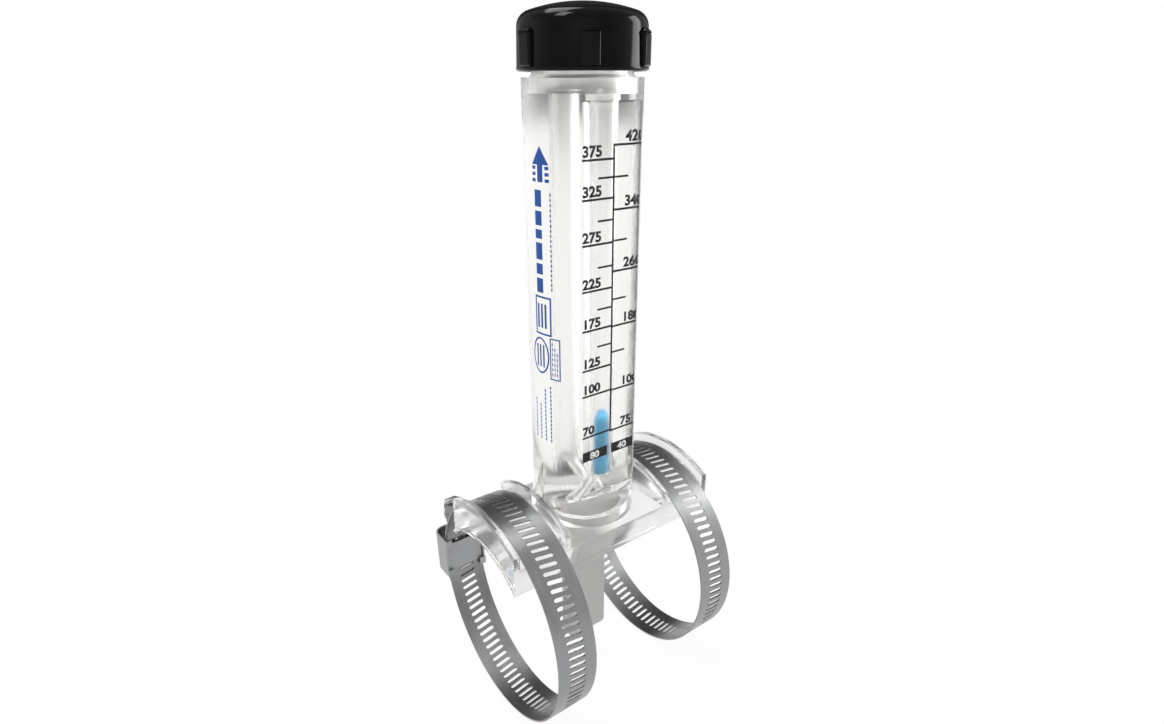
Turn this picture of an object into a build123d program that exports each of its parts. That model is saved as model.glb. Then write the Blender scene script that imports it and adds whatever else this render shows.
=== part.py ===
from build123d import *
from math import cos, radians, sin, sqrt
import os

# Pipe saddle flow meter. Millimetres, origin on the axis of the pipe it sits on,
# straight under the tube. X runs along the pipe, -Y is the scale side, Z is up.

# Pipe and the loop of each band
pipe_diameter = 114.3
band_offset = 51.8
band_width = 24.4
band_thickness = 0.9
loop_inner_radius = 64.4
seat_gap = 0.05
layer_gap = 0.15

# Slots punched in the bands
slot_count = 88
slot_length = 10.8
slot_width = 2.2
slot_slant = 8.4
tail_slot_count = 5
tail_slot_shift = 0.9

# Saddle
saddle_width = 68.8
plate_crown = 1.8
flange_thickness = 3.7
flange_rise = 4.7
channel_play = 2.3
lip_height = 1.6
lip_overhang = 0.8
floor_bevel = 2.4
gusset_thickness = 3.4
gusset_rise = 38.4
rim_chamfer = 0.8

# Tube and the flat that carries the scale
tube_radius = 29.6
tube_height = 237.7
flat_depth = 5.9
drum_height = 21.0
collar_height = 9.8
shoulder_width = 5.0
neck_height = 17.4
neck_root_chamfer = 1.2
neck_top_chamfer = 0.8
tube_top_chamfer = 0.5
flat_corner_round = 1.2
neck_wall = 2.4
chamber_depth = 24.4

# Bores of the tube
bore_edge_gap = 0.15
bore_bottom_radius = 7.2
bore_top_radius = 7.55
bore_floor_rise = 7.15
return_radius = 5.5
return_edge_gap = 4.7
gallery_radius = 2.6

# Float
float_radius = 6.2
float_collar_radius = 6.85
float_collar_height = 7.0
float_length = 37.5
float_gap = 0.3

# Probe that hangs into the pipe
probe_width = 27.5
probe_thickness = 9.0
probe_drop = 39.0
probe_socket_depth = 7.2
probe_clearance = 0.05
probe_tip_chamfer = 1.5
channel_offset = 8.0
channel_radius = 2.0
channel_foot = 4.0
port_radius = 1.5
port_count = 4
port_pitch = 18.0
lowest_port = 10.0

# Spigot that enters the drilled pipe, and its seal
spigot_radius = 15.75
nose_radius = 15.5
nose_length = 3.6
nose_chamfer = 0.6
spigot_drop = 7.1
seal_width = 4.2
seal_height = 3.0
seal_clearance = 0.05

# Screw cap
cap_gap = 2.5
cap_overhang = 2.0
cap_draft = 0.7
cap_height = 29.8
crown_radius = 84.5
cap_corner_radius = 4.2
cap_foot_chamfer = 1.0
cap_bore_clearance = 1.15
cap_top_clearance = 0.4
rib_count = 6
rib_width = 8.7
rib_rise = 1.35
rib_height = 17.4
rib_head_round = 3.4
plug_length = 8.0
plug_clearance = 0.4
plug_wall = 3.0
groove_depth = 1.9
groove_width = 2.6
ring_section = 2.2
ring_clearance = 0.05

# Float stop
stop_thickness = 2.0
stop_clearance = 0.25
stop_rim = 1.8
stop_hole_radius = 2.0
stop_hole_circle = 4.4
stop_hole_count = 3

# Worm drive of each clamp
drive_angle = 92.0
drive_length = 27.4
sheet = 1.2
drive_play = 0.35
worm_radius = 6.1
worm_core = 4.9
worm_lead_in = 2.0
worm_end_gap = 0.5
worm_play = 0.3
screw_neck_length = 9.2
screw_collar_radius = 7.0
screw_collar_length = 3.8
screw_head_flats = 12.4
screw_head_length = 7.2
screw_slot_width = 1.6
screw_slot_depth = 2.4
hook_length = 5.0
hook_reach = 3.2
roof_round = 7.0
plate_thickness = 1.0
plate_arc = 18.0
fixed_end_angle = 84.0
tail_end_angle = 108.0
plain_end_angle = 100.0
ramp_start_angle = 60.0
ramp_end_angle = 77.0

# Places that follow from the sizes above
pipe_radius = pipe_diameter / 2
loop_z = loop_inner_radius - pipe_radius
loop_outer_radius = loop_inner_radius + band_thickness
layer_step = band_thickness + layer_gap
channel_width = band_width + 2 * channel_play
channel_inner_x = band_offset - channel_width / 2
channel_outer_x = band_offset + channel_width / 2
flange_inner_x = channel_inner_x - flange_thickness
saddle_half_length = channel_outer_x + flange_thickness
flange_radius = loop_outer_radius + flange_rise
floor_radius = loop_inner_radius - seat_gap
plate_top = pipe_radius + plate_crown
flat_distance = tube_radius - flat_depth
neck_radius = tube_radius - shoulder_width
chamber_radius = neck_radius - neck_wall
bore_y = -(chamber_radius - bore_top_radius - bore_edge_gap)
return_y = chamber_radius - return_radius - return_edge_gap
cap_radius = tube_radius + cap_overhang
flat_bottom = plate_top + drum_height
shoulder = plate_top + tube_height
flat_top = shoulder - collar_height
neck_top = shoulder + neck_height
chamber_floor = neck_top - chamber_depth
bore_floor = flat_bottom + bore_floor_rise
socket_top = plate_top + probe_socket_depth
seal_roof = pipe_radius + seal_height
seal_outer_radius = spigot_radius + seal_width
spigot_bottom = pipe_radius - spigot_drop
cap_bottom = shoulder + cap_gap
cap_bore_radius = neck_radius + cap_bore_clearance
cap_ceiling = neck_top + cap_top_clearance
plug_bottom = cap_ceiling - plug_length
worm_y = loop_outer_radius + layer_step + worm_play + worm_radius
drive_half_width = band_width / 2 + drive_play + sheet


def name(part, label):
    part.label = label
    return part


def ring_x(outer, inner, low_x, high_x, centre_z):
    """A plain ring about an axis along X, from one x to another."""
    place = Plane(origin=(low_x, 0, centre_z), x_dir=(0, 1, 0), z_dir=(1, 0, 0))
    face = Circle(outer) - Circle(inner) if inner else Circle(outer)
    return extrude(place * face, high_x - low_x)


def block(low, high):
    """A box given by its two corners."""
    size = [b - a for a, b in zip(low, high)]
    return Pos(*low) * Box(*size, align=(Align.MIN, Align.MIN, Align.MIN))


def post(radius, low_z, high_z, x=0.0, y=0.0):
    """An upright cylinder."""
    return Pos(x, y, low_z) * extrude(Circle(radius), high_z - low_z)


def drilled(start, end, radius):
    """A straight hole between two points."""
    line = Edge.make_line(start, end)
    return extrude(Plane(origin=start, z_dir=line % 0) * Circle(radius), line.length)


def saddle():
    """The plate, the two band channels and their four curved flanges."""
    half = saddle_width / 2
    reach = saddle_half_length
    low = pipe_radius * 0.5
    plate = block((-reach, -half, low), (reach, half, plate_top))
    for side in (-1, 1):
        inner, outer = sorted((side * flange_inner_x, side * saddle_half_length))
        plate += ring_x(flange_radius, 0, inner, outer, loop_z) & block((inner, -half, low), (outer, half, 999))
        inner, outer = sorted((side * channel_inner_x, side * channel_outer_x))
        plate -= ring_x(flange_radius + 1, floor_radius, inner, outer, loop_z)
        for front in (-1, 1):
            edge_z = loop_z + sqrt(floor_radius**2 - half**2)
            bevel = Pos((inner + outer) / 2, front * half, edge_z) * Rot(45, 0, 0)
            plate -= bevel * Box(channel_width, floor_bevel, floor_bevel)
    lip_half = half + lip_overhang
    foot = block((-reach - lip_overhang, -lip_half, low), (reach + lip_overhang, lip_half, plate_top - 0.2))
    foot &= ring_x(pipe_radius + lip_height, 0, -reach - lip_overhang, reach + lip_overhang, 0)
    plate += foot
    rims = plate.edges().filter_by(GeomType.CIRCLE).filter_by(lambda e: abs(e.radius - flange_radius) < 0.01)
    plate = chamfer(rims, rim_chamfer)
    return plate - ring_x(pipe_radius, 0, -reach - 2, reach + 2, 0)


def gusset(side):
    """A web from the side of the tube down to the top of the near flange."""
    top = plate_top + gusset_rise
    foot_x = channel_inner_x
    foot_z = loop_z + sqrt(flange_radius**2 - (gusset_thickness / 2) ** 2) - 0.4
    outline = Polyline(
        (side * (tube_radius - 3), plate_top - 1),
        (side * (tube_radius - 3), top),
        (side * (tube_radius - 0.3), top),
        (side * foot_x, foot_z),
        (side * foot_x, plate_top - 1),
        close=True,
    )
    web = Plane.XZ * make_face(Plane.XY * outline)
    return extrude(web, gusset_thickness / 2, both=True)


def tapered_bore():
    """The metering bore, wider at the top, with a small inlet below."""
    profile = Polyline(
        (0, bore_floor),
        (bore_bottom_radius, bore_floor),
        (bore_top_radius, chamber_floor + 1),
        (0, chamber_floor + 1),
        close=True,
    )
    bore = revolve(Plane.XZ * make_face(profile), Axis.Z)
    return Pos(0, bore_y, 0) * bore


def meter_body():
    tube = post(tube_radius, plate_top - 1, shoulder)
    tube = chamfer(tube.edges().group_by(Axis.Z)[-1], tube_top_chamfer)
    flat = block((-tube_radius, -tube_radius - 1, flat_bottom), (tube_radius, -flat_distance, flat_top))
    tube -= fillet(flat.edges().filter_by(Axis.X).group_by(Axis.Y)[-1], flat_corner_round)
    neck = post(neck_radius, shoulder - 1, neck_top)
    neck = chamfer(neck.edges().group_by(Axis.Z)[-1], neck_top_chamfer)
    body = saddle() + tube + neck + gusset(-1) + gusset(1)
    root = body.edges().filter_by(GeomType.CIRCLE).filter_by(
        lambda e: abs(e.radius - neck_radius) < 0.01 and abs(e.center().Z - shoulder) < 0.01
    )
    body = chamfer(root, neck_root_chamfer)
    spigot = post(nose_radius, spigot_bottom, spigot_bottom + nose_length)
    spigot = chamfer(spigot.edges().group_by(Axis.Z)[0], nose_chamfer)
    spigot += post(spigot_radius, spigot_bottom + nose_length, seal_roof + 1)
    seal_pocket = post(seal_outer_radius + seal_clearance, spigot_bottom, seal_roof)
    body = body - seal_pocket + spigot
    body -= post(chamber_radius, chamber_floor, neck_top + 1)
    body -= tapered_bore()
    body -= post(return_radius, bore_floor, chamber_floor + 1, 0, return_y)
    socket = (probe_width / 2 + probe_clearance, probe_thickness / 2 + probe_clearance)
    body -= block((-socket[0], -socket[1], spigot_bottom - 1), (socket[0], socket[1], socket_top))
    for side, y in ((-1, bore_y), (1, return_y)):
        body -= drilled((side * channel_offset, 0, socket_top - 1), (0, y, bore_floor + 2), gallery_radius)
    return body


def pitot_probe():
    """A flat bar with an impact channel and a low pressure channel."""
    half = (probe_width / 2, probe_thickness / 2)
    bar = block((-half[0], -half[1], -probe_drop), (half[0], half[1], socket_top - probe_clearance))
    bar = chamfer(bar.edges().filter_by(Axis.Y).group_by(Axis.Z)[0], probe_tip_chamfer)
    bar = fillet(bar.edges().filter_by(Axis.Z), 0.5)
    for side in (-1, 1):
        bar -= post(channel_radius, channel_foot - probe_drop, socket_top + 1, side * channel_offset)
        for i in range(port_count):
            z = lowest_port - probe_drop + i * port_pitch
            start = (side * channel_offset, 0, z)
            bar -= drilled(start, (side * (half[0] + 1), 0, z), port_radius)
    return bar


def pipe_seal():
    """A rubber ring whose underside follows the pipe."""
    ring = post(seal_outer_radius, pipe_radius * 0.8, seal_roof - seal_clearance)
    ring -= post(spigot_radius + seal_clearance, pipe_radius * 0.8 - 1, seal_roof)
    return ring - ring_x(pipe_radius, 0, -seal_outer_radius - 1, seal_outer_radius + 1, 0)


def flow_float():
    """A bullet with a wider metering collar at its foot."""
    low = bore_floor + float_gap
    high = low + float_length
    profile = (
        Line((0, low), (float_collar_radius - 1.2, low))
        + Line((float_collar_radius - 1.2, low), (float_collar_radius, low + 1.2))
        + Line((float_collar_radius, low + 1.2), (float_collar_radius, low + float_collar_height))
        + Line((float_collar_radius, low + float_collar_height), (float_radius, low + float_collar_height + 1.5))
        + Line((float_radius, low + float_collar_height + 1.5), (float_radius, high - float_radius))
        + CenterArc((0, high - float_radius), float_radius, 0, 90)
        + Line((0, high), (0, low))
    )
    body = revolve(Plane.XZ * make_face(profile), Axis.Z)
    return Pos(0, bore_y, 0) * body


def float_stop():
    """A clear disc over the bores, held down by the plug of the cap."""
    radius = chamber_radius - stop_clearance
    disc = post(radius, chamber_floor, chamber_floor + stop_thickness)
    rim = post(radius, chamber_floor, plug_bottom - float_gap)
    rim -= post(radius - stop_rim, chamber_floor - 1, plug_bottom)
    disc += rim
    disc -= post(return_radius, chamber_floor - 1, chamber_floor + 9, 0, return_y)
    holes = PolarLocations(stop_hole_circle, stop_hole_count, 90)
    for place in holes:
        disc -= Pos(0, bore_y, chamber_floor - 1) * place * extrude(Circle(stop_hole_radius), stop_thickness + 2)
    return disc


def cap_rib():
    """One grip rib with a rounded head, standing out of the side of the cap."""
    low = cap_bottom + cap_foot_chamfer
    face = Pos(0, low + rib_height / 2) * Rectangle(rib_width, rib_height)
    face = fillet(face.vertices().group_by(Axis.Y)[-1], rib_head_round)
    rib = extrude(Plane.YZ * face, cap_radius + rib_rise)
    return rib - post(cap_radius - 3, low - 1, low + rib_height + 1)


def screw_cap():
    """A ribbed cap with a shallow crown and a plug that carries the ring."""
    top_radius = cap_radius - cap_draft
    crown = cap_bottom + cap_height
    rim = crown - crown_radius + sqrt(crown_radius**2 - top_radius**2)
    crown_arc = ThreePointArc((-top_radius, rim), (0, crown), (top_radius, rim))
    sides = Polyline((top_radius, rim), (cap_radius, cap_bottom), (-cap_radius, cap_bottom), (-top_radius, rim))
    face = make_face(crown_arc + sides)
    face = fillet(face.vertices().group_by(Axis.Y)[-1], cap_corner_radius)
    face = chamfer(face.vertices().group_by(Axis.Y)[0], cap_foot_chamfer)
    right_half = Pos(cap_radius, crown) * Rectangle(2 * cap_radius, 4 * cap_radius)
    cap = revolve(Plane.XZ * (face & right_half), Axis.Z)
    for place in PolarLocations(0, rib_count):
        cap += place * cap_rib()
    plug_radius = chamber_radius - plug_clearance
    cap -= post(cap_bore_radius, cap_bottom - 1, cap_ceiling)
    cap += post(plug_radius, plug_bottom, cap_ceiling + 0.5)
    cap -= post(plug_radius - plug_wall, plug_bottom - 1, cap_ceiling)
    middle = (plug_bottom + cap_ceiling) / 2
    groove = post(plug_radius + 0.2, middle - groove_width / 2, middle + groove_width / 2)
    groove -= post(plug_radius - groove_depth, cap_bottom, cap_ceiling)
    return cap - groove


def cap_ring():
    """A square-cut rubber ring in the groove of the plug."""
    low = (plug_bottom + cap_ceiling - ring_section) / 2
    radius = chamber_radius - ring_clearance
    return post(radius, low, low + ring_section) - post(radius - ring_section, low - 1, low + ring_section + 1)


def at_drive(part, x):
    """Turn a clamp piece made at +Y round the loop and move it to its band."""
    return Pos(x, 0, loop_z) * Rot(drive_angle - 90, 0, 0).inverse() * part


def polar(radius, angle):
    """A point of the YZ plane; the angle runs from the top towards the back."""
    return (radius * sin(radians(angle)), radius * cos(radians(angle)))


def band_outline():
    """Edge-on outline of the strip: one full turn and an overlap at the drive."""

    def layer(radius):
        upper = radius + layer_step
        first = ThreePointArc(polar(radius, fixed_end_angle), polar(radius, 180), polar(radius, 270))
        second = ThreePointArc(
            polar(radius, 270), polar(radius, (270 + 360 + ramp_start_angle) / 2), polar(radius, ramp_start_angle)
        )
        middle = polar(radius + layer_step / 2, (ramp_start_angle + ramp_end_angle) / 2)
        ramp = ThreePointArc(polar(radius, ramp_start_angle), middle, polar(upper, ramp_end_angle))
        tail_middle = polar(upper, (ramp_end_angle + tail_end_angle) / 2)
        tail = ThreePointArc(polar(upper, ramp_end_angle), tail_middle, polar(upper, tail_end_angle))
        return [first, second, ramp, tail]

    inner = layer(loop_inner_radius)
    outer = layer(loop_outer_radius)
    ends = [
        Line(polar(loop_inner_radius, fixed_end_angle), polar(loop_outer_radius, fixed_end_angle)),
        Line(
            polar(loop_inner_radius + layer_step, tail_end_angle),
            polar(loop_outer_radius + layer_step, tail_end_angle),
        ),
    ]
    return make_face(Curve() + inner + outer + ends)


def slot_cutter(angle, low_radius, high_radius):
    """A slanted slot that runs through the strip towards the loop's axis."""
    place = Pos(0, *polar(low_radius, angle)) * Rot(-angle, 0, 0) * Rot(0, 0, slot_slant)
    return place * extrude(Rectangle(slot_length, slot_width), high_radius - low_radius)


def clamp_band(x):
    """A slotted strip, wound once round the loop and on over its own first end."""
    place = Plane(origin=(-band_width / 2, 0, 0), x_dir=(0, 1, 0), z_dir=(1, 0, 0))
    strip = extrude(place * band_outline(), band_width)
    step = 360 / slot_count
    between_layers = loop_outer_radius + layer_gap / 2
    inside = loop_inner_radius - 1
    outside = loop_outer_radius + 2 * layer_step
    cutters = []
    for i in range(slot_count):
        angle = fixed_end_angle + (i + 0.5) * step
        if angle > tail_end_angle:
            cutters.append(slot_cutter(angle, inside, outside))
        elif angle > plain_end_angle:
            cutters.append(slot_cutter(angle, inside, between_layers))
    for i in range(tail_slot_count):
        angle = fixed_end_angle + (i + tail_slot_shift) * step
        cutters.append(slot_cutter(angle, between_layers, outside))
    return Pos(x, 0, loop_z) * (strip - cutters)


def clamp_plate(x):
    """The curved plate inside the loop that the housing hooks under."""
    low = drive_angle - plate_arc / 2
    high = drive_angle + plate_arc / 2
    outer = loop_inner_radius - seat_gap
    inner = outer - plate_thickness
    outline = [
        ThreePointArc(polar(inner, low), polar(inner, drive_angle), polar(inner, high)),
        Line(polar(inner, high), polar(outer, high)),
        ThreePointArc(polar(outer, high), polar(outer, drive_angle), polar(outer, low)),
        Line(polar(outer, low), polar(inner, low)),
    ]
    place = Plane(origin=(-band_width / 2, 0, 0), x_dir=(0, 1, 0), z_dir=(1, 0, 0))
    return Pos(x, 0, loop_z) * extrude(place * make_face(Curve() + outline), band_width)


def clamp_housing(x):
    """A folded sheet over the worm, with four hooks under the plate."""
    roof = worm_y + worm_radius + worm_play + sheet
    half_length = drive_length / 2
    foot = sqrt((loop_inner_radius - seat_gap - plate_thickness) ** 2 - half_length**2) - 0.1
    width = 2 * drive_half_width
    outer = Pos(0, (foot + roof) / 2) * Rectangle(width, roof - foot)
    outer = fillet(outer.vertices().group_by(Axis.Y)[-1], roof_round)
    inner = Pos(0, (foot + roof) / 2 - sheet) * Rectangle(width - 2 * sheet, roof - foot)
    inner = fillet(inner.vertices().group_by(Axis.Y)[-1], roof_round - sheet)
    shell = extrude(outer - inner, half_length, both=True)
    for side in (-1, 1):
        for end in (-1, 1):
            x0, x1 = sorted((side * (drive_half_width - sheet - hook_reach), side * drive_half_width))
            z0, z1 = sorted((end * (half_length - hook_length), end * half_length))
            shell += block((x0, foot - sheet, z0), (x1, foot, z1))
    return at_drive(shell, x)


def clamp_screw(x):
    """A worm, left plain here, with a collar and a slotted hexagon head."""
    half_length = drive_length / 2
    z = half_length + screw_neck_length
    screw = post(worm_core, worm_end_gap - half_length, z)
    screw += post(worm_radius, worm_lead_in - half_length, z)
    screw += post(screw_collar_radius, z, z + screw_collar_length)
    z += screw_collar_length
    head = extrude(RegularPolygon(screw_head_flats / 2, 6, major_radius=False), screw_head_length)
    head -= Pos(0, 0, screw_head_length) * Box(30, screw_slot_width, 2 * screw_slot_depth)
    screw += Pos(0, 0, z) * head
    return at_drive(Pos(0, worm_y, 0) * screw, x)


parts = {
    "meter_body": meter_body(),
    "pitot_probe": pitot_probe(),
    "pipe_seal": pipe_seal(),
    "flow_float": flow_float(),
    "float_stop": float_stop(),
    "screw_cap": screw_cap(),
    "cap_ring": cap_ring(),
}
for side, x in (("left", -band_offset), ("right", band_offset)):
    parts[side + "_clamp_band"] = clamp_band(x)
    parts[side + "_clamp_plate"] = clamp_plate(x)
    parts[side + "_clamp_housing"] = clamp_housing(x)
    parts[side + "_clamp_screw"] = clamp_screw(x)

os.makedirs("parts", exist_ok=True)
for label, part in parts.items():
    export_step(name(part, label), "parts/" + label + ".step")
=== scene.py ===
import math

import bpy
from mathutils import Matrix, Vector


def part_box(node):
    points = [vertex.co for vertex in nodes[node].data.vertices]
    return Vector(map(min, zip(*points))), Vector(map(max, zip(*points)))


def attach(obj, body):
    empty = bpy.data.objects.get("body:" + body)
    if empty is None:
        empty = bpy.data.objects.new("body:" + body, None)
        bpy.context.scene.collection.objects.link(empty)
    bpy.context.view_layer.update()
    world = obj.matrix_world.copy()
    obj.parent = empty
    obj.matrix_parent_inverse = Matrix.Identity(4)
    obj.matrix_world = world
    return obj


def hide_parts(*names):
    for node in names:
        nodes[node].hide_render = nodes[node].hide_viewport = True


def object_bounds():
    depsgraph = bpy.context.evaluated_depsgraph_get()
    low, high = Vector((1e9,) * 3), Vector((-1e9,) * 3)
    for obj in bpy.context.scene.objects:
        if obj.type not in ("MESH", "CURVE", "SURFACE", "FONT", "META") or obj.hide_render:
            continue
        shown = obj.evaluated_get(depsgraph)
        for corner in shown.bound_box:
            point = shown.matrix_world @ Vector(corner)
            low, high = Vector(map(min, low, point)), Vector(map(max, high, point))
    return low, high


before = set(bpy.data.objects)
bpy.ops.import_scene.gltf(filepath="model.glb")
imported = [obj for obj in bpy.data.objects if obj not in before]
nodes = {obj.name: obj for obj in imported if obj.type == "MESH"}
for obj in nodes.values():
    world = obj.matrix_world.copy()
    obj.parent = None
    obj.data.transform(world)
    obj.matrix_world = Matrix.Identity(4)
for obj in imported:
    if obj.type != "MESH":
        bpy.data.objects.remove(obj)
cad_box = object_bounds()
mm = 0.001

# Camera, floor and soft studio light.
# The camera stands close, above and to the left of the scale, as in the photograph.
# The floor lies under the lowest point of the two bands, in a white room with a dark card overhead.
camera_place = (-0.21085, -0.28460, 0.29425)
camera_turn = (67.75, 0.13, -36.49)
focal_length = 21.118

bpy.context.scene.view_settings.view_transform = "Standard"
bpy.ops.object.select_all(action="DESELECT")
bpy.ops.object.camera_add(location=camera_place, rotation=[math.radians(a) for a in camera_turn])
camera = bpy.context.object
camera.name = "camera"
camera.data.sensor_width = 36
camera.data.lens = focal_length
camera.data.clip_start = 0.01
bpy.context.scene.camera = camera


def new_material(name):
    """A fresh node material, its shader, its nodes and its links."""
    material = bpy.data.materials.new(name)
    material.use_nodes = True
    tree = material.node_tree
    return material, tree.nodes["Principled BSDF"], tree.nodes, tree.links


def finish_with(obj, material):
    """Give an object this one material and nothing else."""
    obj.data.materials.clear()
    obj.data.materials.append(material)


def larger_of(shading, wires, first, second):
    """The larger of two values."""
    larger = shading.new("ShaderNodeMath")
    larger.operation = "MAXIMUM"
    wires.new(first, larger.inputs[0])
    wires.new(second, larger.inputs[1])
    return larger.outputs[0]


floor_level = cad_box[0][2]
bpy.ops.mesh.primitive_plane_add(size=12, location=(0, 0, floor_level))
floor = bpy.context.object
floor.name = "floor"
floor_white, shader, shading, wires = new_material("floor_white")
shader.inputs["Base Color"].default_value = (0.82, 0.82, 0.82, 1)
shader.inputs["Roughness"].default_value = 0.9
shader.inputs["Specular IOR Level"].default_value = 0.1
glow = shading.new("ShaderNodeEmission")
place = shading.new("ShaderNodeTexCoord")
distance = shading.new("ShaderNodeVectorMath")
distance.operation = "LENGTH"
wires.new(place.outputs["Object"], distance.inputs[0])
fade = shading.new("ShaderNodeMapRange")
fade.interpolation_type = "SMOOTHSTEP"
fade.inputs["From Min"].default_value = 0.15
fade.inputs["From Max"].default_value = 0.6
fade.inputs["To Min"].default_value = 0.93
fade.inputs["To Max"].default_value = 1.0
wires.new(distance.outputs["Value"], fade.inputs["Value"])
rays = shading.new("ShaderNodeLightPath")
bounced = larger_of(shading, wires, rays.outputs["Is Glossy Ray"], rays.outputs["Is Transmission Ray"])
share = shading.new("ShaderNodeMath")
share.operation = "MULTIPLY"
wires.new(larger_of(shading, wires, rays.outputs["Is Camera Ray"], bounced), share.inputs[0])
wires.new(fade.outputs[0], share.inputs[1])
blend = shading.new("ShaderNodeMixShader")
wires.new(share.outputs[0], blend.inputs[0])
wires.new(shader.outputs[0], blend.inputs[1])
wires.new(glow.outputs[0], blend.inputs[2])
wires.new(blend.outputs[0], shading["Material Output"].inputs["Surface"])
finish_with(floor, floor_white)


def chosen(shading, wires, factor, first, second):
    """The second value where the factor is one, and the first where it is nought."""
    choice = shading.new("ShaderNodeMix")
    wires.new(factor, choice.inputs["Factor"])
    for socket, value in ((choice.inputs[2], first), (choice.inputs[3], second)):
        if isinstance(value, float):
            socket.default_value = value
        else:
            wires.new(value, socket)
    return choice.outputs[0]


def number_of(shading, wires, operation, first, second):
    """One plain sum on a wire and a number or a second wire."""
    step = shading.new("ShaderNodeMath")
    step.operation = operation
    wires.new(first, step.inputs[0])
    if isinstance(second, float):
        step.inputs[1].default_value = second
    else:
        wires.new(second, step.inputs[1])
    return step.outputs[0]


world = bpy.data.worlds.new("white_room")
bpy.context.scene.world = world
world.use_nodes = True
room = world.node_tree.nodes
wiring = world.node_tree.links
rays = room.new("ShaderNodeLightPath")
towards = room.new("ShaderNodeTexCoord")
split = room.new("ShaderNodeSeparateXYZ")
wiring.new(towards.outputs["Generated"], split.inputs[0])
bearing = number_of(room, wiring, "ARCTAN2", split.outputs["Y"], split.outputs["X"])
corners = number_of(room, wiring, "ADD", number_of(room, wiring, "MULTIPLY", bearing, 4.0), -3.73)
walls = room.new("ShaderNodeMapRange")
walls.inputs["From Min"].default_value = -1
wiring.new(chosen(room, wiring, rays.outputs["Is Transmission Ray"], 0.5, 0.25), walls.inputs["To Min"])
wiring.new(number_of(room, wiring, "COSINE", corners, 0.0), walls.inputs["Value"])
height = room.new("ShaderNodeMapRange")
height.interpolation_type = "SMOOTHSTEP"
height.inputs["From Min"].default_value = 0.2
height.inputs["From Max"].default_value = 0.6
wiring.new(split.outputs["Z"], height.inputs["Value"])
ceiling = chosen(room, wiring, rays.outputs["Is Transmission Ray"], 0.5, 0.75)
lit = chosen(room, wiring, height.outputs[0], walls.outputs[0], ceiling)
facing = room.new("ShaderNodeVectorMath")
facing.operation = "DOT_PRODUCT"
facing.inputs[1].default_value = (0.540, 0.730, 0.420)
wiring.new(towards.outputs["Generated"], facing.inputs[0])
card = room.new("ShaderNodeMapRange")
card.interpolation_type = "SMOOTHSTEP"
card.inputs["From Min"].default_value = 0.75
card.inputs["From Max"].default_value = 0.93
wiring.new(facing.outputs["Value"], card.inputs["Value"])
mirrored = number_of(room, wiring, "MULTIPLY", card.outputs[0], rays.outputs["Is Glossy Ray"])
lit = chosen(room, wiring, mirrored, lit, 0.06)
bounced = larger_of(room, wiring, rays.outputs["Is Glossy Ray"], rays.outputs["Is Transmission Ray"])
level = chosen(room, wiring, bounced, 0.42, lit)
level = chosen(room, wiring, rays.outputs["Is Camera Ray"], level, 1.0)
wiring.new(level, room["Background"].inputs["Strength"])
room["Background"].inputs["Color"].default_value = (1, 1, 1, 1)


def soft_light(name, place, aim, width, height, watts):
    """A rectangular soft lamp that looks at a point."""
    bpy.ops.object.light_add(type="AREA", location=place)
    lamp = bpy.context.object
    lamp.name = name
    lamp.data.shape = "RECTANGLE"
    lamp.data.size = width
    lamp.data.size_y = height
    lamp.data.energy = watts
    lamp.rotation_euler = (Vector(aim) - Vector(place)).to_track_quat("-Z", "Y").to_euler()


soft_light("lamp_over", (-0.15, 0.42, 1.35), (0, 0, 0.2), 0.7, 0.5, 8)
soft_light("lamp_right", (1.1, -0.42, 0.5), (0, 0, 0.2), 0.45, 1.0, 11)
soft_light("lamp_left", (-0.62, -0.05, 1.25), (0, 0, 0.2), 0.3, 0.45, 6)


# Meter body: tube, neck, saddle plate, channels, flanges and gussets.
# One thick injection moulding in clear acrylic, faintly hazy, and rougher in its drilled bores.
# It is the solid from the CAD source with its facets joined and its edges eased.
# Its tall walls are shaded flat, facet by facet.
def joined_copy(node, name):
    """A copy of a CAD piece with its loose triangles joined, selected and active."""
    bpy.ops.object.select_all(action="DESELECT")
    piece = bpy.data.objects.new(name, nodes[node].data.copy())
    bpy.context.scene.collection.objects.link(piece)
    piece.select_set(True)
    bpy.context.view_layer.objects.active = piece
    bpy.ops.object.mode_set(mode="EDIT")
    bpy.ops.mesh.select_all(action="SELECT")
    bpy.ops.mesh.remove_doubles(threshold=0.002 * mm)
    bpy.ops.mesh.dissolve_limited(angle_limit=math.radians(0.2))
    bpy.ops.object.mode_set(mode="OBJECT")
    return piece


def only_active(piece):
    """Select this piece alone and make it the active one."""
    bpy.ops.object.select_all(action="DESELECT")
    piece.select_set(True)
    bpy.context.view_layer.objects.active = piece


def ease_edges(piece, width, segments, sharper_than=30):
    """Round every edge that is sharper than an angle, then smooth the shading."""
    bevel = piece.modifiers.new("eased_edges", "BEVEL")
    bevel.width = width
    bevel.segments = segments
    bevel.limit_method = "ANGLE"
    bevel.angle_limit = math.radians(sharper_than)
    only_active(piece)
    bpy.ops.object.modifier_apply(modifier=bevel.name)
    bpy.ops.object.shade_smooth_by_angle(angle=math.radians(sharper_than + 5))
    shine = piece.modifiers.new("even_shine", "WEIGHTED_NORMAL")
    shine.keep_sharp = True
    bpy.ops.object.modifier_apply(modifier=shine.name)


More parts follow.
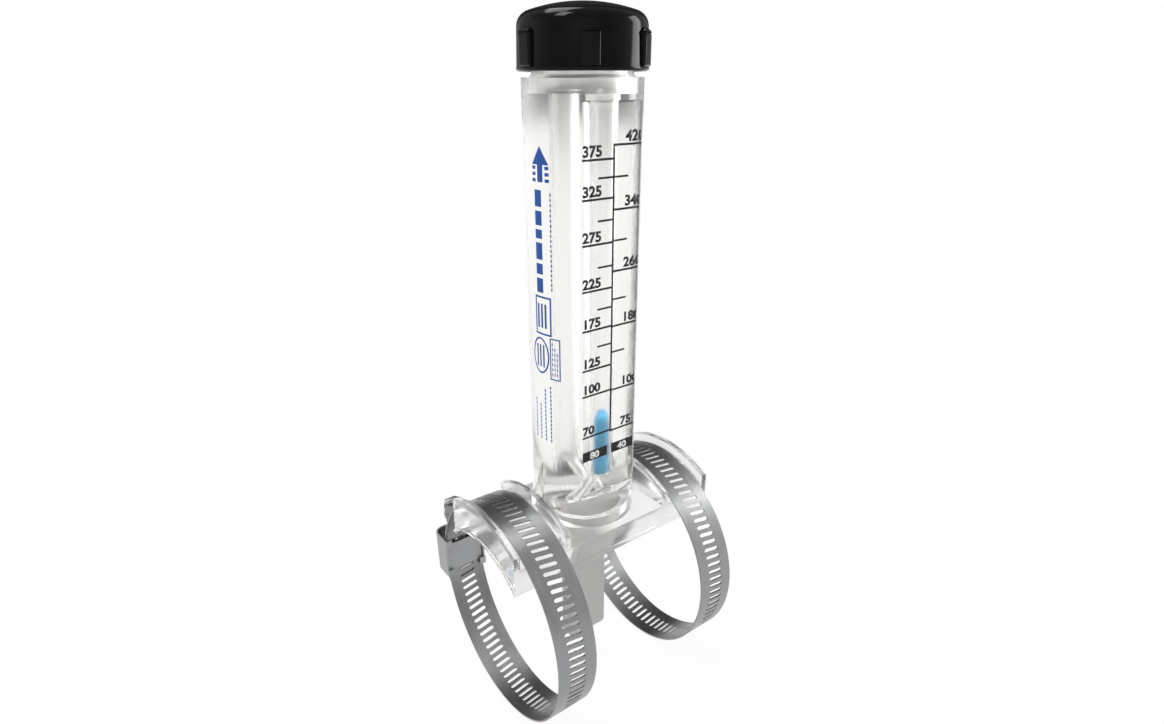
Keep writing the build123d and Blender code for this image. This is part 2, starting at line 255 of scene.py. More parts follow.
def clear_acrylic(name, tint, rough, bending=1.3):
    """Clear moulded plastic with a glossy skin, faint waviness and an uneven haze."""
    material, shader, shading, wires = new_material(name)
    shader.inputs["Base Color"].default_value = tint
    shader.inputs["Transmission Weight"].default_value = 1
    shader.inputs["IOR"].default_value = bending
    shader.inputs["Coat Weight"].default_value = 0.5
    shader.inputs["Coat Roughness"].default_value = 0.04
    place = shading.new("ShaderNodeTexCoord")
    ripple = shading.new("ShaderNodeTexNoise")
    ripple.inputs["Scale"].default_value = 20
    ripple.inputs["Detail"].default_value = 1
    wires.new(place.outputs["Object"], ripple.inputs["Vector"])
    bump = shading.new("ShaderNodeBump")
    bump.inputs["Strength"].default_value = 0.004
    bump.inputs["Distance"].default_value = 0.2 * mm
    wires.new(ripple.outputs["Fac"], bump.inputs["Height"])
    wires.new(bump.outputs[0], shader.inputs["Normal"])
    haze = shading.new("ShaderNodeMapRange")
    haze.inputs["To Min"].default_value = rough * 0.7
    haze.inputs["To Max"].default_value = rough * 1.3
    wires.new(ripple.outputs["Fac"], haze.inputs["Value"])
    wires.new(haze.outputs[0], shader.inputs["Roughness"])
    return material


body = joined_copy("meter_body", "clear_body")
ease_edges(body, 0.5 * mm, 3)
finish_with(body, clear_acrylic("clear_acrylic", (0.945, 0.938, 0.918, 1), 0.2, 1.22))
body.data.materials.append(clear_acrylic("satin_acrylic", (0.89, 0.888, 0.88, 1), 0.17, 1.36))
body.data.materials.append(clear_acrylic("drilled_acrylic", (0.955, 0.952, 0.94, 1), 0.42))
satin_skin = 1
drilled_skin = 2
bore_reach = 22.9 * mm
saddle_top = 75 * mm
tall_wall = 25 * mm
for face in body.data.polygons:
    if math.hypot(face.center.x, face.center.y) < bore_reach:
        face.material_index = drilled_skin
    elif face.center.z < saddle_top:
        face.material_index = satin_skin
    heights = [body.data.vertices[v].co.z for v in face.vertices]
    face.use_smooth = face.use_smooth and max(heights) - min(heights) < tall_wall
only_active(body)
bpy.ops.mesh.customdata_custom_splitnormals_clear()
body.visible_shadow = False
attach(body, "meter")
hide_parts("meter_body")


# Float stop: a clear disc with three holes and a low rim, dropped on the bores.
# Moulded in the same acrylic, with a slightly clearer tint.
stop = joined_copy("float_stop", "clear_stop")
ease_edges(stop, 0.3 * mm, 2)
finish_with(stop, clear_acrylic("stop_acrylic", (0.96, 0.96, 0.95, 1), 0.1))
stop.visible_shadow = False
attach(stop, "meter")
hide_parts("float_stop")


# Float: a turned plastic bullet with a wider metering collar at its foot.
# Dyed blue right through, with a soft satin skin and a slight mottle. It is loose in its bore.
def turned(name, profile, sides):
    """A closed shape turned about Z from (radius, height) points, top and bottom filled."""
    radius, height = profile[0]
    bpy.ops.object.select_all(action="DESELECT")
    foot = (0, 0, height)
    bpy.ops.mesh.primitive_circle_add(vertices=sides, radius=radius, fill_type="NGON", location=foot)
    piece = bpy.context.object
    piece.name = name
    bpy.ops.object.mode_set(mode="EDIT")
    bpy.ops.mesh.select_all(action="SELECT")
    for new_radius, new_height in profile[1:]:
        bpy.ops.mesh.extrude_edges_move(TRANSFORM_OT_translate={"value": (0, 0, new_height - height)})
        grow = new_radius / radius
        bpy.ops.transform.resize(value=(grow, grow, 1), center_override=(0, 0, new_height))
        radius, height = new_radius, new_height
    bpy.ops.mesh.edge_face_add()
    bpy.ops.mesh.select_all(action="SELECT")
    bpy.ops.mesh.normals_make_consistent(inside=False)
    bpy.ops.object.mode_set(mode="OBJECT")
    bpy.ops.object.transform_apply(location=True, rotation=True, scale=True)
    bpy.ops.object.shade_smooth_by_angle(angle=math.radians(35))
    return piece


def arc(centre, radius, start, end, steps):
    """Points (r, z) on an arc, angles in degrees from the outward direction."""
    points = []
    for i in range(steps + 1):
        angle = math.radians(start + (end - start) * i / steps)
        points.append((centre[0] + radius * math.cos(angle), centre[1] + radius * math.sin(angle)))
    return points


def satin_plastic(name, dark, light, rough, grain, gloss=0.5):
    """Moulded plastic with a slight mottle in its colour and a fine skin."""
    material, shader, shading, wires = new_material(name)
    shader.inputs["Specular IOR Level"].default_value = gloss
    place = shading.new("ShaderNodeTexCoord")
    mottle = shading.new("ShaderNodeTexNoise")
    mottle.inputs["Scale"].default_value = grain
    mottle.inputs["Detail"].default_value = 4
    wires.new(place.outputs["Object"], mottle.inputs["Vector"])
    ramp = shading.new("ShaderNodeValToRGB")
    ramp.color_ramp.elements[0].color = (*dark, 1)
    ramp.color_ramp.elements[1].color = (*light, 1)
    ramp.color_ramp.elements[0].position = 0.3
    ramp.color_ramp.elements[1].position = 0.7
    wires.new(mottle.outputs["Fac"], ramp.inputs["Fac"])
    wires.new(ramp.outputs["Color"], shader.inputs["Base Color"])
    skin = shading.new("ShaderNodeMapRange")
    skin.inputs["To Min"].default_value = rough * 0.8
    skin.inputs["To Max"].default_value = rough * 1.25
    wires.new(mottle.outputs["Fac"], skin.inputs["Value"])
    wires.new(skin.outputs[0], shader.inputs["Roughness"])
    bump = shading.new("ShaderNodeBump")
    bump.inputs["Strength"].default_value = 0.06
    bump.inputs["Distance"].default_value = 0.05 * mm
    wires.new(mottle.outputs["Fac"], bump.inputs["Height"])
    wires.new(bump.outputs[0], shader.inputs["Normal"])
    return material


low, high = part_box("flow_float")
float_wide = (high.x - low.x) / 2
float_slim = 6.2 * mm
float_profile = [
    (float_wide - 1.2 * mm, low.z),
    (float_wide - 0.3 * mm, low.z + 0.5 * mm),
    (float_wide, low.z + 1.3 * mm),
    (float_wide, low.z + 6.8 * mm),
    (float_wide - 0.2 * mm, low.z + 7.4 * mm),
    (float_slim, low.z + 8.6 * mm),
]
float_profile += arc((0, high.z - float_slim), float_slim, 0, 88, 14)
flow_float = turned("blue_float", float_profile, 64)
flow_float.data.transform(Matrix.Translation(((low.x + high.x) / 2, (low.y + high.y) / 2, 0)))
finish_with(flow_float, satin_plastic("float_blue", (0.02, 0.28, 0.50), (0.03, 0.34, 0.58), 0.3, 250))
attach(flow_float, "float")
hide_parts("flow_float")


# Probe: a flat bar that hangs through the saddle into the pipe, with two inner channels.
# Moulded in opaque grey plastic and pressed into its socket under the tube.
probe = joined_copy("pitot_probe", "grey_probe")
ease_edges(probe, 0.3 * mm, 2)
finish_with(probe, satin_plastic("probe_grey", (0.45, 0.448, 0.44), (0.49, 0.488, 0.48), 0.42, 400))
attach(probe, "meter")
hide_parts("pitot_probe")


# Pipe seal: a pale rubber ring round the spigot, its underside curved to the pipe.
# Moulded, and held in a pocket of the saddle.
seal = joined_copy("pipe_seal", "pale_seal")
ease_edges(seal, 0.3 * mm, 2)
finish_with(seal, satin_plastic("seal_grey", (0.5, 0.5, 0.48), (0.56, 0.56, 0.54), 0.55, 600))
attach(seal, "meter")
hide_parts("pipe_seal")


# Ring on the plug of the cap: square-cut black rubber in a groove.
# It seals against the wall of the top chamber.
ring = joined_copy("cap_ring", "plug_ring")
ease_edges(ring, 0.3 * mm, 2)
finish_with(ring, satin_plastic("ring_black", (0.012, 0.012, 0.012), (0.02, 0.02, 0.02), 0.5, 700))
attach(ring, "cap_seal")
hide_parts("cap_ring")


# Screw cap: a black cap with a shallow crown, six raised grips and a hollow plug inside.
# Moulded in glossy black plastic, turned here from a profile, and screwed on the neck of the tube.
low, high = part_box("screw_cap")
cap_foot = low.z
cap_radius = 31.6 * mm
cap_bore = 25.75 * mm
cap_ceiling = cap_foot + 15.3 * mm
plug_inside = 18.8 * mm
plug_outside = 21.8 * mm
plug_foot = cap_ceiling - 8 * mm
plug_ease = 0.4 * mm
groove_root = 19.9 * mm
groove_low = cap_ceiling - 5.3 * mm
groove_high = cap_ceiling - 2.7 * mm
crown_radius = 84.5 * mm
crown_centre = high.z - crown_radius
corner = 7 * mm
corner_r = 30.9 * mm - corner
corner_z = crown_centre + math.sqrt((crown_radius - corner) ** 2 - corner_r ** 2)
crown_meets = math.degrees(math.atan2(corner_z - crown_centre, corner_r))
cap_profile = [
    (2 * mm, cap_ceiling), (plug_inside, cap_ceiling),
    (plug_inside, plug_foot + plug_ease), (plug_inside + plug_ease, plug_foot),
    (plug_outside - plug_ease, plug_foot), (plug_outside, plug_foot + plug_ease),
    (plug_outside, groove_low), (groove_root, groove_low),
    (groove_root, groove_high), (plug_outside, groove_high),
    (plug_outside, cap_ceiling), (cap_bore, cap_ceiling),
    (cap_bore, cap_foot + 0.8 * mm), (cap_bore + 0.8 * mm, cap_foot), (cap_radius - 1.4 * mm, cap_foot),
    (cap_radius - 0.8 * mm, cap_foot + 0.12 * mm), (cap_radius - 0.3 * mm, cap_foot + 0.4 * mm),
    (cap_radius, cap_foot + 1 * mm), (cap_radius, cap_foot + 1.7 * mm),
    (cap_radius - 0.2 * mm, cap_foot + 2.1 * mm),
]
cap_profile += arc((corner_r, corner_z), corner, 0, crown_meets, 10)
cap_profile += arc((0, crown_centre), crown_radius, crown_meets + 0.8, 89.2, 16)
cap = turned("black_cap", cap_profile, 144)
grip_count = 6
grip_size = (5.9 * mm, 8.7 * mm, 16.6 * mm)
grip_centre = (30 * mm, 0, cap_foot + 10.2 * mm)
grips = []
for i in range(grip_count):
    bpy.ops.object.select_all(action="DESELECT")
    bpy.ops.mesh.primitive_cube_add(size=1, location=grip_centre)
    grip = bpy.context.object
    grip.scale = grip_size
    bpy.ops.object.transform_apply(location=True, rotation=True, scale=True)
    bpy.ops.object.mode_set(mode="EDIT")
    bpy.ops.mesh.select_all(action="DESELECT")
    bpy.ops.object.mode_set(mode="OBJECT")
    for edge in grip.data.edges:
        ends = [grip.data.vertices[v].co for v in edge.vertices]
        on_top = min(end.z for end in ends) > grip_centre[2]
        edge.select = on_top and abs(ends[0].y - ends[1].y) < 0.1 * mm
    bpy.ops.object.mode_set(mode="EDIT")
    bpy.ops.mesh.select_mode(type="EDGE")
    bpy.ops.mesh.bevel(offset=3.6 * mm, segments=10)
    bpy.ops.mesh.select_mode(type="FACE")
    bpy.ops.mesh.select_all(action="DESELECT")
    bpy.ops.object.mode_set(mode="OBJECT")
    for face in grip.data.polygons:
        face.select = face.normal.x > 0.99
    bpy.ops.object.mode_set(mode="EDIT")
    bpy.ops.mesh.region_to_loop()
    bpy.ops.mesh.bevel(offset=1.2 * mm, segments=5)
    bpy.ops.mesh.select_mode(type="VERT")
    bpy.ops.object.mode_set(mode="OBJECT")
    bpy.ops.object.shade_smooth_by_angle(angle=math.radians(35))
    grip.data.transform(Matrix.Rotation(math.radians(360 / grip_count * i), 4, "Z"))
    grips.append(grip)
only_active(cap)
for grip in grips:
    grip.select_set(True)
bpy.ops.object.join()
finish_with(cap, satin_plastic("cap_black", (0.003, 0.003, 0.0032), (0.005, 0.005, 0.0053), 0.12, 90, 0.11))
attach(cap, "cap")
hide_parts("screw_cap")


# Thread of the neck: a rounded ridge that climbs 3 mm a turn, moulded on the clear neck.
# It shows only when the cap is screwed up.
def helix(name, profile, start, pitch, turns, steps):
    """A closed ridge swept up a helix about Z, from (radius, height) points round its section."""
    bpy.ops.object.select_all(action="DESELECT")
    bpy.ops.mesh.primitive_circle_add(vertices=len(profile), radius=1, location=(0, 0, 0))
    ridge = bpy.context.object
    ridge.name = name
    for vertex, (radius, height) in zip(ridge.data.vertices, profile):
        vertex.co = (radius, 0, start + height)
    climb = ridge.modifiers.new("climb", "SCREW")
    climb.angle = math.radians(360 * turns)
    climb.screw_offset = pitch * turns
    climb.steps = int(steps * turns)
    climb.render_steps = int(steps * turns)
    bpy.ops.object.modifier_apply(modifier=climb.name)
    bpy.ops.object.mode_set(mode="EDIT")
    bpy.ops.mesh.select_all(action="SELECT")
    bpy.ops.mesh.remove_doubles(threshold=0.001 * mm)
    bpy.ops.mesh.fill_holes(sides=0)
    bpy.ops.mesh.select_all(action="SELECT")
    bpy.ops.mesh.normals_make_consistent(inside=False)
    bpy.ops.object.mode_set(mode="OBJECT")
    bpy.ops.object.shade_smooth_by_angle(angle=math.radians(35))
    return ridge


neck_section = [
    (24.65 * mm, -0.9 * mm), (25.2 * mm, -0.45 * mm), (25.35 * mm, 0),
    (25.2 * mm, 0.45 * mm), (24.65 * mm, 0.9 * mm),
]
neck_thread = helix("neck_thread", neck_section, 302.4 * mm, 3 * mm, 3, 72)
finish_with(neck_thread, clear_acrylic("thread_acrylic", (0.96, 0.96, 0.95, 1), 0.1))
neck_thread.visible_shadow = False
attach(neck_thread, "meter")


# Bands: a punched strip of stainless steel wound once round the loop and over its own end.
# Cells with a slanted slot, 88 to a turn, are laid in a row and rolled up with a small step.
def satin_steel(name, grey, rough, stretch):
    """Rolled stainless sheet with a fine grain along the strip and a slightly mottled shine."""
    material, shader, shading, wires = new_material(name)
    shader.inputs["Metallic"].default_value = 1
    place = shading.new("ShaderNodeTexCoord")
    along = shading.new("ShaderNodeMapping")
    along.inputs["Scale"].default_value = stretch
    wires.new(place.outputs["Object"], along.inputs["Vector"])
    grain = shading.new("ShaderNodeTexNoise")
    grain.inputs["Scale"].default_value = 60
    grain.inputs["Detail"].default_value = 5
    wires.new(along.outputs[0], grain.inputs["Vector"])
    tone = shading.new("ShaderNodeValToRGB")
    tone.color_ramp.elements[0].color = (grey * 0.94, grey * 0.96, grey * 0.98, 1)
    tone.color_ramp.elements[1].color = (grey * 1.04, grey * 1.05, grey * 1.07, 1)
    tone.color_ramp.elements[0].position = 0.3
    tone.color_ramp.elements[1].position = 0.7
    wires.new(grain.outputs["Fac"], tone.inputs["Fac"])
    wires.new(tone.outputs["Color"], shader.inputs["Base Color"])
    skin = shading.new("ShaderNodeMapRange")
    skin.inputs["To Min"].default_value = rough * 0.8
    skin.inputs["To Max"].default_value = rough * 1.2
    wires.new(grain.outputs["Fac"], skin.inputs["Value"])
    wires.new(skin.outputs[0], shader.inputs["Roughness"])
    bump = shading.new("ShaderNodeBump")
    bump.inputs["Strength"].default_value = 0.05
    bump.inputs["Distance"].default_value = 0.02 * mm
    wires.new(grain.outputs["Fac"], bump.inputs["Height"])
    wires.new(bump.outputs[0], shader.inputs["Normal"])
    return material


band_width = 24.4 * mm
band_thickness = 0.9 * mm
band_outside = 65.3 * mm
loop_height = 7.25 * mm
lap_step = 1.05 * mm
slot_count = 88
slot_length = 10.8 * mm
slot_width = 2.15 * mm
slot_slant = math.radians(-8.4)
cell = math.radians(360 / slot_count)
first_end = math.radians(84)
last_end = math.radians(468)
lap_begins = 420
lap_rises = 17
plain_cells = 4
tail_cells = 5
tail_shift = 0.4


def band_cell(name, start, slotted, length=cell):
    """One flat cell of strip, as wide as the band, its length measured as an angle of the loop."""
    bpy.ops.object.select_all(action="DESELECT")
    if not slotted:
        bpy.ops.mesh.primitive_grid_add(x_subdivisions=10, y_subdivisions=2, size=1)
        piece = bpy.context.object
        piece.name = name
        for vertex in piece.data.vertices:
            vertex.co = (vertex.co.x * band_width, start + (vertex.co.y + 0.5) * length, 0)
        return piece
    bpy.ops.mesh.primitive_circle_add(vertices=24, radius=slot_width / 2)
    piece = bpy.context.object
    piece.name = name
    for vertex in piece.data.vertices:
        angle = math.atan2(vertex.co.y, vertex.co.x) + math.radians(7.5)
        side = 1 if math.cos(angle) > 0 else -1
        reach = (slot_length - slot_width) / 2
        vertex.co = (side * reach + slot_width / 2 * math.cos(angle), slot_width / 2 * math.sin(angle), 0)
    piece.data.transform(Matrix.Rotation(slot_slant, 4, "Z"))
    bpy.ops.object.mode_set(mode="EDIT")
    bpy.ops.mesh.select_all(action="SELECT")
    bpy.ops.mesh.extrude_edges_move(TRANSFORM_OT_translate={"value": (0, 0, 0)})
    bpy.ops.object.mode_set(mode="OBJECT")
    rim = sorted((v for v in piece.data.vertices if v.select), key=lambda v: math.atan2(v.co.y, v.co.x))
    half = cell / 2
    across = [band_width * (i / 10 - 0.5) for i in range(11)]
    edge = [(x, -half) for x in across] + [(across[10], 0)]
    edge += [(x, half) for x in reversed(across)] + [(across[0], 0)]
    edge.sort(key=lambda place: math.atan2(place[1] * band_outside, place[0]))
    for vertex, (x, turn) in zip(rim, edge):
        vertex.co = (x, turn * band_outside, 0)
    for vertex in piece.data.vertices:
        vertex.co.y = start + half + vertex.co.y / band_outside
    return piece


band_steel = satin_steel("band_steel", 0.31, 0.34, (14, 1, 1))
for side, centre in (("left", -51.8 * mm), ("right", 51.8 * mm)):
    lap = first_end + slot_count * cell
    tail = lap + (tail_cells + tail_shift) * cell
    strip = [band_cell("strip", first_end + i * cell, i >= plain_cells) for i in range(slot_count)]
    strip.append(band_cell("strip", lap, False, tail_shift * cell))
    strip += [band_cell("strip", lap + (i + tail_shift) * cell, True) for i in range(tail_cells)]
    strip.append(band_cell("strip", tail, False, last_end - tail))
    only_active(strip[0])
    for piece in strip:
        piece.select_set(True)
    bpy.ops.object.join()
    band = bpy.context.object
    band.name = side + "_steel_band"
    bpy.ops.object.mode_set(mode="EDIT")
    bpy.ops.mesh.select_all(action="SELECT")
    bpy.ops.mesh.remove_doubles(threshold=0.0005 * mm)
    bpy.ops.object.mode_set(mode="OBJECT")
    for vertex in band.data.vertices:
        x, turn, _ = vertex.co
        rise = min(1, max(0, (math.degrees(turn) - lap_begins) / lap_rises))
        radius = band_outside + lap_step * rise * rise * (3 - 2 * rise)
        vertex.co = (centre + x, radius * math.sin(turn), loop_height + radius * math.cos(turn))
    bpy.ops.object.mode_set(mode="EDIT")
    bpy.ops.mesh.select_all(action="SELECT")
    bpy.ops.mesh.normals_make_consistent(inside=False)
    bpy.ops.object.mode_set(mode="OBJECT")
    first = band.data.polygons[0]
    outwards = Vector((0, first.center.y, first.center.z - loop_height))
    if first.normal.dot(outwards) < 0:
        band.data.flip_normals()
    wall = band.modifiers.new("wall", "SOLIDIFY")
    wall.thickness = band_thickness
    wall.offset = -1
    wall.use_even_offset = False
    bpy.ops.object.modifier_apply(modifier=wall.name)
    ease_edges(band, 0.1 * mm, 2, 40)
    finish_with(band, band_steel)
    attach(band, "meter")
    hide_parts(side + "_clamp_band")


# Clamp plates and housings: a curved plate inside the lap, and a folded box round the worm.
# Both are pressed from stainless sheet, the box hooked under the plate at its four corners.
drive_steel = satin_steel("drive_steel", 0.42, 0.5, (1, 1, 8))
for side in ("left", "right"):
    for part in ("plate", "housing"):
        piece = joined_copy(f"{side}_clamp_{part}", f"{side}_steel_{part}")
        ease_edges(piece, 0.25 * mm, 3)
        finish_with(piece, drive_steel)
        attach(piece, "meter")
        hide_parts(f"{side}_clamp_{part}")


# Clamp screws: a worm that drives the slots, a collar and a slotted hexagon head.
# Turned and rolled from plated steel, lying across the end of each band.
worm_core = 4.9 * mm
worm_radius = 6.1 * mm
worm_pitch = 4.66 * mm
worm_turns = 6.7
worm_start = -9.9 * mm
worm_low = -13.2 * mm
collar_low = 22.9 * mm
collar_high = 26.7 * mm
head_high = 33.9 * mm
head_flats = 12.4 * mm
head_slot = (20 * mm, 1.7 * mm, 4.8 * mm)
screw_out = 72.75 * mm
screw_tilt = math.radians(-2)
screw_steel = satin_steel("screw_steel", 0.28, 0.4, (3, 3, 3))
for side, centre in (("left", -51.8 * mm), ("right", 51.8 * mm)):
    shank = turned("shank", [
        (worm_core - 0.7 * mm, worm_low), (worm_core, worm_low + 0.7 * mm), (worm_core, collar_low),
        (6.3 * mm, collar_low), (6.8 * mm, collar_low + 0.25 * mm), (7.0 * mm, collar_low + 0.8 * mm),
        (7.0 * mm, collar_high - 0.8 * mm), (6.8 * mm, collar_high - 0.25 * mm), (6.3 * mm, collar_high),
    ], 64)
    worm_section = [
        (worm_core - 0.2 * mm, -1.5 * mm), (worm_radius - 0.2 * mm, -0.75 * mm), (worm_radius, -0.5 * mm),
        (worm_radius, 0.5 * mm), (worm_radius - 0.2 * mm, 0.75 * mm), (worm_core - 0.2 * mm, 1.5 * mm),
    ]
    worm = helix("worm", worm_section, worm_start, worm_pitch, worm_turns, 48)
    bpy.ops.object.select_all(action="DESELECT")
    bpy.ops.mesh.primitive_cylinder_add(
        vertices=6, radius=head_flats / math.sqrt(3), depth=head_high - collar_high + 0.2 * mm,
        location=(0, 0, (head_high + collar_high) / 2 - 0.1 * mm), rotation=(0, 0, math.radians(30)),
    )
    head = bpy.context.object
    bpy.ops.object.transform_apply(location=True, rotation=True, scale=True)
    bpy.ops.mesh.primitive_cube_add(size=1, location=(0, 0, head_high))
    cutter = bpy.context.object
    cutter.scale = head_slot
    bpy.ops.object.transform_apply(location=True, rotation=True, scale=True)
    ease_edges(head, 0.6 * mm, 3)
    slot = head.modifiers.new("slot", "BOOLEAN")
    slot.operation = "DIFFERENCE"
    slot.object = cutter
    bpy.ops.object.modifier_apply(modifier=slot.name)
    bpy.data.objects.remove(cutter)
    only_active(shank)
    worm.select_set(True)
    head.select_set(True)
    bpy.ops.object.join()
    screw = bpy.context.object
    screw.name = side + "_steel_screw"
    tilt = Matrix.Rotation(screw_tilt, 4, "X")
    screw.data.transform(
        Matrix.Translation((centre, 0, loop_height)) @ tilt @ Matrix.Translation((0, screw_out, 0))
    )
    bpy.ops.object.shade_smooth_by_angle(angle=math.radians(35))
    finish_with(screw, screw_steel)
    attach(screw, side + "_screw")
    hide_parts(side + "_clamp_screw")


# Scale: black ink printed on the flat of the tube, with plain numbers.
# The long marks underline their numbers, and the short marks lie halfway between.
def ink(name, dark, light):
    """Printing ink with a slightly uneven cover."""
    material, shader, shading, wires = new_material(name)
    place = shading.new("ShaderNodeTexCoord")
    cover = shading.new("ShaderNodeTexNoise")
    cover.inputs["Scale"].default_value = 900
    wires.new(place.outputs["Object"], cover.inputs["Vector"])
    density = shading.new("ShaderNodeValToRGB")
    density.color_ramp.elements[0].color = (*dark, 1)
    density.color_ramp.elements[1].color = (*light, 1)
    wires.new(cover.outputs["Fac"], density.inputs["Fac"])
    wires.new(density.outputs["Color"], shader.inputs["Base Color"])
    shader.inputs["Roughness"].default_value = 0.5
    shader.inputs["Specular IOR Level"].default_value = 0.25
    rays = shading.new("ShaderNodeLightPath")
    first_sight = number_of(shading, wires, "LESS_THAN", rays.outputs["Glossy Depth"], 0.5)
    wires.new(first_sight, shader.inputs["Alpha"])
    return material


flat_y = -23.7 * mm
flat_edge = 17.6 * mm
number_size = 6.9
number_lift = 1.5
long_half = 0.55
short_half = 0.5


def printed_bar(marks, left, right, low, high, depth=flat_y):
    """A bar of ink on the flat, from one x to another and one height to another, in mm."""
    bpy.ops.object.select_all(action="DESELECT")
    middle = ((left + right) / 2 * mm, depth, (low + high) / 2 * mm)
    bpy.ops.mesh.primitive_plane_add(size=1, location=middle, rotation=(math.radians(90), 0, 0))
    bar = bpy.context.object
    bar.scale = ((right - left) * mm, (high - low) * mm, 1)
    marks.append(bar)


def printed_number(marks, text, place, foot, size, align="LEFT", depth=flat_y):
    """A plain number on the flat, set from its left or right foot, in mm."""
    bpy.ops.object.select_all(action="DESELECT")
    bpy.ops.object.text_add(location=(place * mm, depth, foot * mm), rotation=(math.radians(90), 0, 0))
    words = bpy.context.object
    words.data.body = text
    words.data.size = size * mm
    words.data.offset = size * mm * 0.042
    words.data.align_x = align
    words.data.resolution_u = 4
    words.scale = (1.12, 1, 1)
    bpy.ops.object.convert(target="MESH")
    marks.append(bpy.context.object)


def printed_film(marks, name, material):
    """Join loose marks into one thin film of ink that stops at the right edge of the flat."""
    only_active(marks[0])
    for mark in marks:
        mark.select_set(True)
    bpy.ops.object.join()
    print_film = bpy.context.object
    bpy.ops.object.transform_apply(location=True, rotation=True, scale=True)
    print_film.name = name
    bpy.ops.object.mode_set(mode="EDIT")
    bpy.ops.mesh.select_all(action="SELECT")
    bpy.ops.mesh.bisect(plane_co=(flat_edge, 0, 0), plane_no=(1, 0, 0), clear_outer=True)
    bpy.ops.object.mode_set(mode="OBJECT")
    film = print_film.modifiers.new("film", "SOLIDIFY")
    film.thickness = 0.04 * mm
    film.offset = 1
    bpy.ops.object.modifier_apply(modifier=film.name)
    finish_with(print_film, material)
    print_film.visible_glossy = False
    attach(print_film, "meter")
    return print_film


scale_marks = []
left_marks = {
    "375": 261.0, "325": 242.8, "275": 221.1, "225": 198.0,
    "175": 177.3, "125": 155.6, "100": 140.9, "70": 116.5,
}
right_marks = {"420": 267.2, "340": 236.9, "260": 206.1, "180": 176.8, "100": 140.4, "75": 115.9}
for number, height in left_marks.items():
    printed_bar(scale_marks, -18.0, 0.5, height - long_half, height + long_half)
    printed_number(scale_marks, number, -17.8, height + number_lift, number_size)
for number, height in right_marks.items():
    printed_bar(scale_marks, 0.5, 17.5, height - long_half, height + long_half)
    printed_number(scale_marks, number, 8.0, height + number_lift, number_size)
for height in (252.5, 232.3, 209.4, 187.7, 167.6):
    printed_bar(scale_marks, -8.5, 0.5, height - short_half, height + short_half)
for height in (252.5, 221.7, 191.4, 162.4):
    printed_bar(scale_marks, 0.5, 10.0, height - short_half, height + short_half)
printed_bar(scale_marks, 0.4, 1.5, 115.4, 267.7)
printed_bar(scale_marks, -17.9, -1.1, 101.5, 107.5)
printed_bar(scale_marks, 1.8, 17.5, 101.5, 107.5)
scale_ink = ink("scale_ink", (0.006, 0.006, 0.007), (0.016, 0.016, 0.018))
scale_print = printed_film(scale_marks, "scale_print", scale_ink)

white_marks = []
for number, place in (("80", -13.0), ("40", 6.3)):
    printed_number(white_marks, number, place, 102.5, 5.6, "LEFT", flat_y - 0.05 * mm)
white_ink = ink("white_ink", (0.75, 0.75, 0.74), (0.82, 0.82, 0.81))
white_print = printed_film(white_marks, "white_numbers", white_ink)


# Side label: blue ink printed up the left of the tube, with plain shapes and ruled lines.
# A flow arrow, two frames and an oval stand above rows of short strokes, wrapped round the tube.
tube_radius = 29.62 * mm
label_left = -51
label_strip = 1.05
label_cuts = 20
label_marks = []


def label_bar(turn_low, turn_high, low, high):
    """A bar of ink, its width given by two angles round the tube in degrees, its height in mm."""
    arc_mm = math.radians(1) * tube_radius / mm
    printed_bar(label_marks, turn_low * arc_mm, turn_high * arc_mm, low, high, 0)


def label_frame(turn_low, turn_high, low, high, stroke):
    """An outlined frame of ink."""
    wide = stroke / (math.radians(1) * tube_radius / mm)
    label_bar(turn_low, turn_low + wide, low, high)
    label_bar(turn_high - wide, turn_high, low, high)
    label_bar(turn_low + wide, turn_high - wide, low, low + stroke)
    label_bar(turn_low + wide, turn_high - wide, high - stroke, high)


def label_ring(turn, height, half_wide, half_tall, stroke):
    """An outlined oval of ink."""
    arc_mm = math.radians(1) * tube_radius
    bpy.ops.object.select_all(action="DESELECT")
    bpy.ops.mesh.primitive_circle_add(vertices=48, radius=1)
    oval = bpy.context.object
    bpy.ops.object.mode_set(mode="EDIT")
    bpy.ops.mesh.select_all(action="SELECT")
    bpy.ops.mesh.extrude_edges_move(TRANSFORM_OT_translate={"value": (0, 0, 0)})
    shrink = (1 - stroke / half_wide, 1 - stroke / half_tall, 1)
    bpy.ops.transform.resize(value=shrink, center_override=(0, 0, 0))
    bpy.ops.object.mode_set(mode="OBJECT")
    for vertex in oval.data.vertices:
        x, y, _ = vertex.co
        vertex.co = (turn * arc_mm + x * half_wide * mm, 0, height * mm + y * half_tall * mm)
    label_marks.append(oval)


def label_arrow(turn, low, high, half_wide):
    """A plain arrow head that points up the tube."""
    arc_mm = math.radians(1) * tube_radius
    bpy.ops.object.select_all(action="DESELECT")
    bpy.ops.mesh.primitive_circle_add(vertices=3, radius=1, fill_type="NGON")
    head = bpy.context.object
    corners = ((0, high), (-half_wide, low), (half_wide, low))
    for vertex, (x, z) in zip(head.data.vertices, corners):
        vertex.co = (turn * arc_mm + x * mm, 0, z * mm)
    label_marks.append(head)


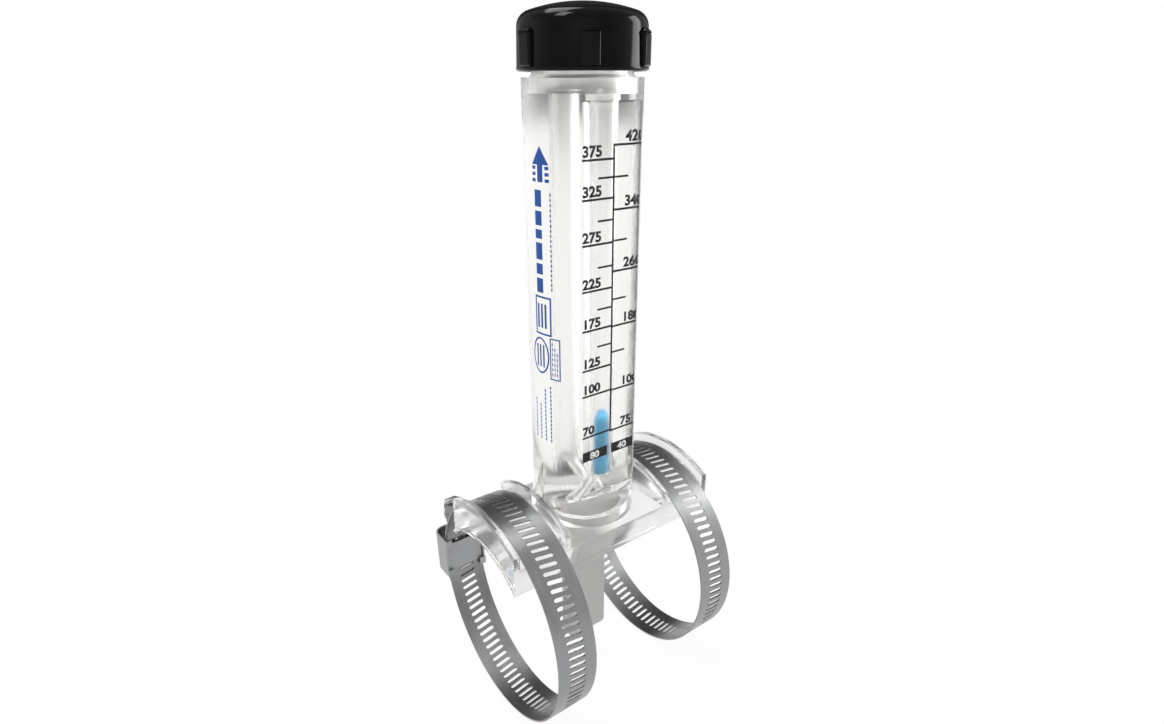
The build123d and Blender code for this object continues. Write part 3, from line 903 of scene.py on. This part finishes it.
label_arrow(-80, 258.5, 267.0, 5.6)
label_bar(-83.5, -76.5, 250.5, 258.6)
for i in range(3):
    label_bar(-91 + 0.2 * i, -86, 250.5 + 2.9 * i, 252.1 + 2.9 * i)
    label_bar(-74, -69 - 0.2 * i, 250.5 + 2.9 * i, 252.1 + 2.9 * i)
for foot, length in ((195.8, 7.5), (205.3, 5.5), (212.8, 8.5), (223.3, 4.5), (229.8, 7.0), (238.8, 8.0)):
    label_bar(-88.2, -79.0, foot, foot + length)
for i in range(20):
    label_bar(-68.9, -67.5, 197.6 + 2.45 * i, 199.2 + 2.45 * i)
label_frame(-91.5, -69.3, 173.2, 194.0, 1.0)
for turn in (-88.0, -83.0, -78.0):
    label_bar(turn, turn + 2.6, 177.0, 190.0)
label_ring(-85.3, 161.3, 6.4, 10.2, 1.0)
for turn in (-91.0, -86.3, -81.6):
    label_bar(turn, turn + 2.2, 155.0, 167.6)
label_frame(-72.0, -59.7, 149.2, 172.4, 0.7)
for i, turn in enumerate((-69.5, -66.6, -63.7)):
    for j in range(7 - i):
        label_bar(turn, turn + 1.1, 151.5 + 2.8 * j, 153.4 + 2.8 * j)
for i, turn in enumerate((-96.0, -88.0, -80.5, -73.0)):
    for j in range((10, 9, 13, 14)[i]):
        label_bar(turn, turn + 1.7, 111.5 + 2.45 * j, 113.2 + 2.45 * j)

only_active(label_marks[0])
for mark in label_marks:
    mark.select_set(True)
bpy.ops.object.join()
label = bpy.context.object
label.name = "side_label"
bpy.ops.object.transform_apply(location=True, rotation=True, scale=True)
bpy.ops.object.mode_set(mode="EDIT")
for i in range(label_cuts):
    bpy.ops.mesh.select_all(action="SELECT")
    bpy.ops.mesh.bisect(plane_co=((label_left + label_strip * i) * mm, 0, 0), plane_no=(1, 0, 0))
bpy.ops.object.mode_set(mode="OBJECT")
for vertex in label.data.vertices:
    turn = vertex.co.x / tube_radius
    vertex.co = (tube_radius * math.sin(turn), -tube_radius * math.cos(turn), vertex.co.z)
bpy.ops.object.mode_set(mode="EDIT")
bpy.ops.mesh.select_all(action="SELECT")
bpy.ops.mesh.normals_make_consistent(inside=False)
bpy.ops.object.mode_set(mode="OBJECT")
film = label.modifiers.new("film", "SOLIDIFY")
film.thickness = 0.05 * mm
film.offset = 0
bpy.ops.object.modifier_apply(modifier=film.name)
finish_with(label, ink("label_ink", (0.02, 0.085, 0.33), (0.028, 0.11, 0.40)))
label.visible_glossy = False
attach(label, "meter")
